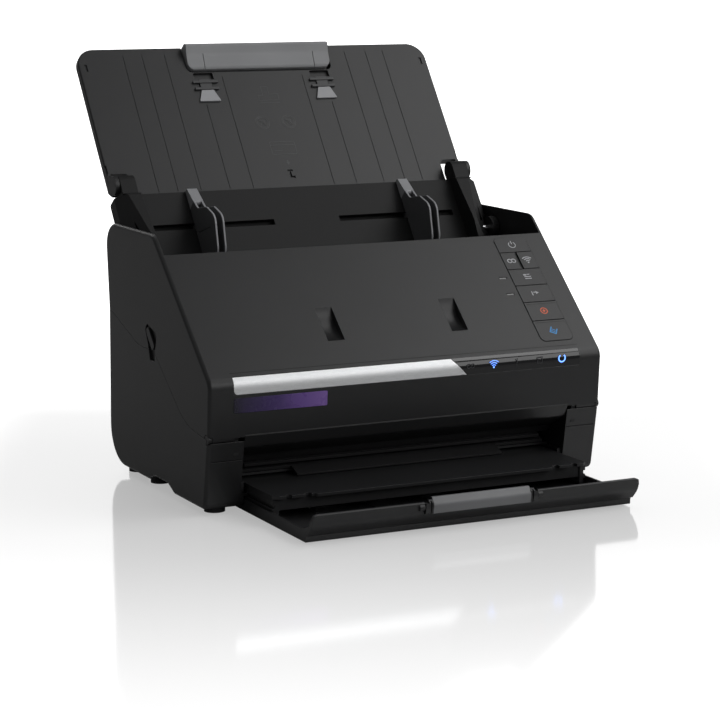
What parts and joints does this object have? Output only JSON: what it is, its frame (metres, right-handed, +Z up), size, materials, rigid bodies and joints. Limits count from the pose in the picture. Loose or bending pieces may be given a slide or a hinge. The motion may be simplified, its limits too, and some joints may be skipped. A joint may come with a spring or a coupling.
{
  "type": "sheet-fed photo scanner",
  "caption": "Desktop sheet-fed scanner with a leaning feed tray and folding lid, sliding edge guides, a cover that opens forward and a pull-out output tray.",
  "frame": {"origin": "bottom centre of the bounding box, on the table", "axes": "+Z up, +X to the right as seen from the front, +Y to the back; the front with the keys faces -Y"},
  "size_m": [0.296, 0.3625, 0.2962],
  "materials": {
    "shell": "satin moulded",
    "inner": "matt moulded",
    "grey": "satin moulded",
    "key": "satin moulded",
    "window": "polished",
    "silver": "brushed",
    "steel": "zinc plated",
    "rubber": "matt",
    "glass": "clear",
    "gear": "natural acetal",
    "board": "circuit board",
    "brass": "sintered"
  },
  "bodies": {
    "base": {"base_casing": "shell", "rubber_feet": "rubber", "under_floor": "steel", "rear_housing": "shell", "side_frame_left": "steel", "side_frame_right": "steel", "lower_guide": "inner", "rear_sensor": "inner", "rear_sensor_glass": "glass", "motor": "steel", "main_board": "board", "power_socket": "inner", "usb_socket": "silver", "tray_pivot_pins": "steel", "cover_hinge_pins": "steel", "roller_bushes": "brass"},
    "cover": {"cover_shell": "shell", "cover_inner_guide": "inner", "front_sensor": "inner", "front_sensor_glass": "glass", "status_window": "window", "silver_plate": "silver", "button_board": "board"},
    "separation": {"separation_roller": "rubber"},
    "feed_idler_set": {"feed_idlers": "gear"},
    "eject_idler_set": {"eject_idlers": "gear"},
    "latch": {"cover_latch": "key"},
    "tray": {"feed_tray": "shell", "lid_pins": "steel"},
    "left_guide": {"guide_left": "shell"},
    "right_guide": {"guide_right": "shell"},
    "pinion": {"guide_pinion": "gear"},
    "lid": {"tray_lid": "shell", "lid_tabs": "grey"},
    "extension": {"lid_extension": "inner", "extension_grip": "grey"},
    "out_tray": {"output_tray": "shell"},
    "out_extension": {"output_extension": "shell"},
    "stopper": {"output_stopper": "grey"},
    "feed": {"feed_roller": "rubber", "feed_gear": "gear"},
    "pickup": {"pickup_roller": "rubber", "pickup_gear": "gear"},
    "eject": {"eject_roller": "rubber", "eject_gear": "gear"},
    "motor_drive": {"motor_shaft": "steel", "motor_gear": "gear"},
    "pickup_idler": {"pickup_idler_axle": "steel", "pickup_idler_gear": "gear"},
    "motor_idler": {"motor_idler_axle": "steel", "motor_idler_gear": "gear"},
    "eject_idler": {"eject_idler_axle": "steel", "eject_idler_gear": "gear"},
    "key_power_cap": {"key_power": "key"},
    "key_mode_cap": {"key_mode": "key"},
    "key_link_cap": {"key_link": "key"},
    "key_sheets_cap": {"key_sheets": "key"},
    "key_feed_cap": {"key_feed": "key"},
    "key_stop_cap": {"key_stop": "key"},
    "key_start_cap": {"key_start": "key"}
  },
  "joints": [
    {"name": "cover_hinge", "type": "hinge", "parent": "base", "child": "cover", "pos_m": [0, -0.07918, 0.052], "axis": [1, 0, 0], "range_deg": [0, 55]},
    {"name": "cover_latch", "type": "hinge", "parent": "cover", "child": "latch", "pos_m": [0, 0.02262, 0.109], "axis": [-1, 0, 0], "range_deg": [0, 25], "stiffness_Nm_per_rad": 0.02},
    {"name": "key_power_press", "type": "slide", "parent": "cover", "child": "key_power_cap", "axis": [0, 0.6704, -0.742], "range_m": [0, 0.0005], "stiffness_N_per_m": 300},
    {"name": "key_mode_press", "type": "slide", "parent": "cover", "child": "key_mode_cap", "axis": [0, 0.6704, -0.742], "range_m": [0, 0.0005], "stiffness_N_per_m": 300},
    {"name": "key_link_press", "type": "slide", "parent": "cover", "child": "key_link_cap", "axis": [0, 0.6704, -0.742], "range_m": [0, 0.0005], "stiffness_N_per_m": 300},
    {"name": "key_sheets_press", "type": "slide", "parent": "cover", "child": "key_sheets_cap", "axis": [0, 0.6704, -0.742], "range_m": [0, 0.0005], "stiffness_N_per_m": 300},
    {"name": "key_feed_press", "type": "slide", "parent": "cover", "child": "key_feed_cap", "axis": [0, 0.6704, -0.742], "range_m": [0, 0.0005], "stiffness_N_per_m": 300},
    {"name": "key_stop_press", "type": "slide", "parent": "cover", "child": "key_stop_cap", "axis": [0, 0.6704, -0.742], "range_m": [0, 0.0005], "stiffness_N_per_m": 300},
    {"name": "key_start_press", "type": "slide", "parent": "cover", "child": "key_start_cap", "axis": [0, 0.6704, -0.742], "range_m": [0, 0.0005], "stiffness_N_per_m": 300},
    {"name": "separation_roller_spin", "type": "hinge", "parent": "cover", "child": "separation", "pos_m": [0, 0.03526, 0.12652], "axis": [1, 0, 0], "continuous": true},
    {"name": "feed_idlers_spin", "type": "hinge", "parent": "cover", "child": "feed_idler_set", "pos_m": [0, 0.01137, 0.08701], "axis": [1, 0, 0], "continuous": true},
    {"name": "eject_idlers_spin", "type": "hinge", "parent": "cover", "child": "eject_idler_set", "pos_m": [0, -0.03133, 0.04291], "axis": [1, 0, 0], "continuous": true},
    {"name": "tray_hinge", "type": "hinge", "parent": "base", "child": "tray", "pos_m": [0, 0.06313, 0.16053], "axis": [-1, 0, 0], "range_deg": [-126.13, 0]},
    {"name": "guide_left_slide", "type": "slide", "parent": "tray", "child": "left_guide", "axis": [-1, 0, 0], "range_m": [-0.053, 0.027]},
    {"name": "guide_right_slide", "type": "slide", "parent": "tray", "child": "right_guide", "axis": [1, 0, 0], "range_m": [-0.053, 0.027]},
    {"name": "guide_pinion_spin", "type": "hinge", "parent": "tray", "child": "pinion", "pos_m": [0, 0.08179, 0.17143], "axis": [0, -0.8077, 0.5896], "range_deg": [-260, 507]},
    {"name": "lid_hinge", "type": "hinge", "parent": "tray", "child": "lid", "pos_m": [0, 0.10157, 0.20056], "axis": [-1, 0, 0], "range_deg": [-38.5, 0]},
    {"name": "lid_extension_slide", "type": "slide", "parent": "lid", "child": "extension", "axis": [0, 0.5896, 0.8077], "range_m": [0, 0.07]},
    {"name": "output_tray_slide", "type": "slide", "parent": "base", "child": "out_tray", "axis": [0, -1, 0], "range_m": [-0.095, 0]},
    {"name": "output_extension_slide", "type": "slide", "parent": "out_tray", "child": "out_extension", "axis": [0, -1, 0], "range_m": [0, 0.07]},
    {"name": "output_stopper_hinge", "type": "hinge", "parent": "out_extension", "child": "stopper", "pos_m": [0, -0.17888, 0.0176], "axis": [-1, 0, 0], "range_deg": [0, 90]},
    {"name": "feed_roller_spin", "type": "hinge", "parent": "base", "child": "feed", "pos_m": [0, 0.02292, 0.07858], "axis": [1, 0, 0], "continuous": true},
    {"name": "pickup_roller_spin", "type": "hinge", "parent": "base", "child": "pickup", "pos_m": [0, 0.05327, 0.11337], "axis": [1, 0, 0], "continuous": true},
    {"name": "eject_roller_spin", "type": "hinge", "parent": "base", "child": "eject", "pos_m": [0, -0.0234, 0.0335], "axis": [1, 0, 0], "continuous": true},
    {"name": "motor_spin", "type": "hinge", "parent": "base", "child": "motor_drive", "pos_m": [0, 0.06712, 0.06], "axis": [1, 0, 0], "continuous": true},
    {"name": "pickup_idler_spin", "type": "hinge", "parent": "base", "child": "pickup_idler", "pos_m": [0, 0.04442, 0.08866], "axis": [1, 0, 0], "continuous": true},
    {"name": "motor_idler_spin", "type": "hinge", "parent": "base", "child": "motor_idler", "pos_m": [0, 0.04095, 0.05154], "axis": [1, 0, 0], "continuous": true},
    {"name": "eject_idler_spin", "type": "hinge", "parent": "base", "child": "eject_idler", "pos_m": [0, -0.00983, 0.06303], "axis": [1, 0, 0], "continuous": true}
  ],
  "couplings": [
    {"joint": "guide_right_slide", "follows": "guide_left_slide", "ratio": 1},
    {"joint": "guide_pinion_spin", "follows": "guide_left_slide", "rad_per_m": -166.67},
    {"joint": "pickup_idler_spin", "follows": "feed_roller_spin", "ratio": -1.1111},
    {"joint": "pickup_roller_spin", "follows": "feed_roller_spin", "ratio": 0.83333},
    {"joint": "motor_idler_spin", "follows": "feed_roller_spin", "ratio": -0.625},
    {"joint": "motor_spin", "follows": "feed_roller_spin", "ratio": 1.6667},
    {"joint": "eject_idler_spin", "follows": "feed_roller_spin", "ratio": -0.52632},
    {"joint": "eject_roller_spin", "follows": "feed_roller_spin", "ratio": 1.4286}
  ]
}
